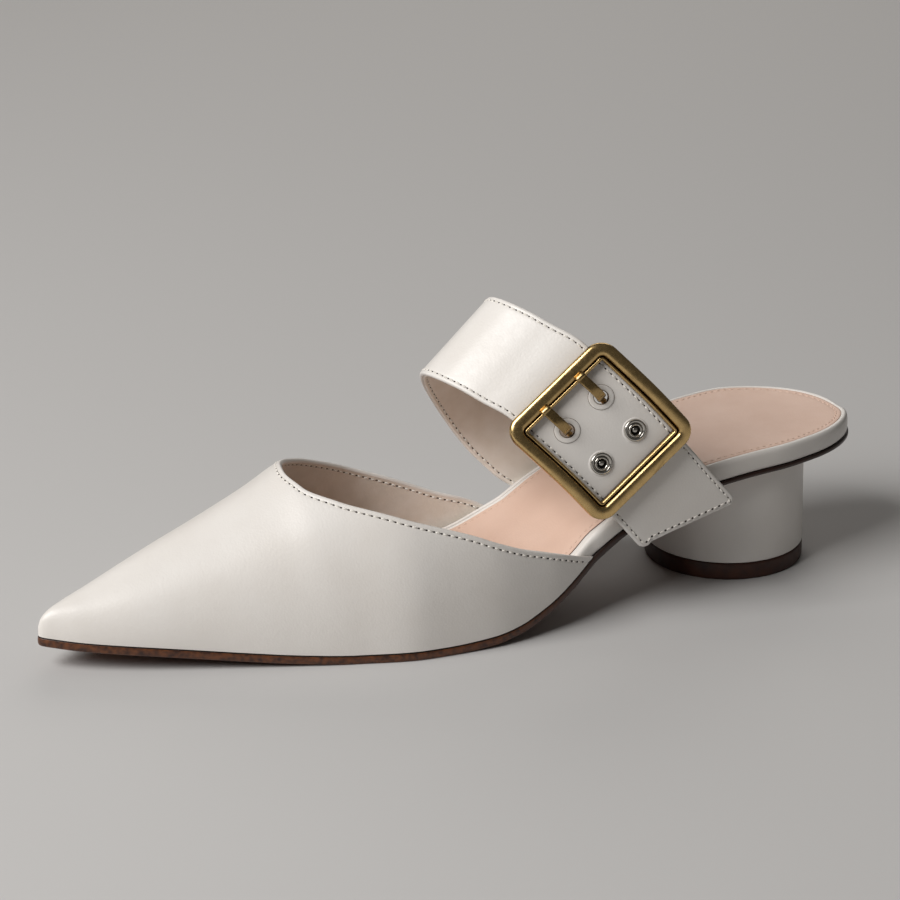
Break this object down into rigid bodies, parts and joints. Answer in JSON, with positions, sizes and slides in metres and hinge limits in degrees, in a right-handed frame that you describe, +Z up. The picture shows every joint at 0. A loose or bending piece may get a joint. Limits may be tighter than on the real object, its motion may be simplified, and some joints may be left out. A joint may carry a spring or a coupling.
{
  "type": "mule shoe",
  "caption": "Left leather mule with a pointed toe, wide strap with square buckle, and round block heel",
  "frame": {"origin": "on the floor under the middle of the round heel", "axes": "toe along -X, heel along +X, outer side of the foot along -Y, +Z up"},
  "size_m": [0.2681, 0.0791, 0.0945],
  "materials": {
    "ivory_leather": "smooth, slightly glossy",
    "nude_leather": "matte",
    "sole_leather": "smooth, slightly glossy",
    "antique_gold": "antique, darkened in the hollows",
    "nickel": "polished",
    "top_piece": "matte"
  },
  "bodies": {
    "root": {"outsole": "sole_leather", "footbed": "ivory_leather", "sock": "nude_leather", "vamp": "ivory_leather", "strap": "ivory_leather", "chape": "ivory_leather", "buckle": "antique_gold", "prong_front": "antique_gold", "prong_rear": "antique_gold", "eyelet_front": "nickel", "eyelet_rear": "nickel", "heel_block": "ivory_leather", "heel_cap": "top_piece"}
  },
  "joints": []
}
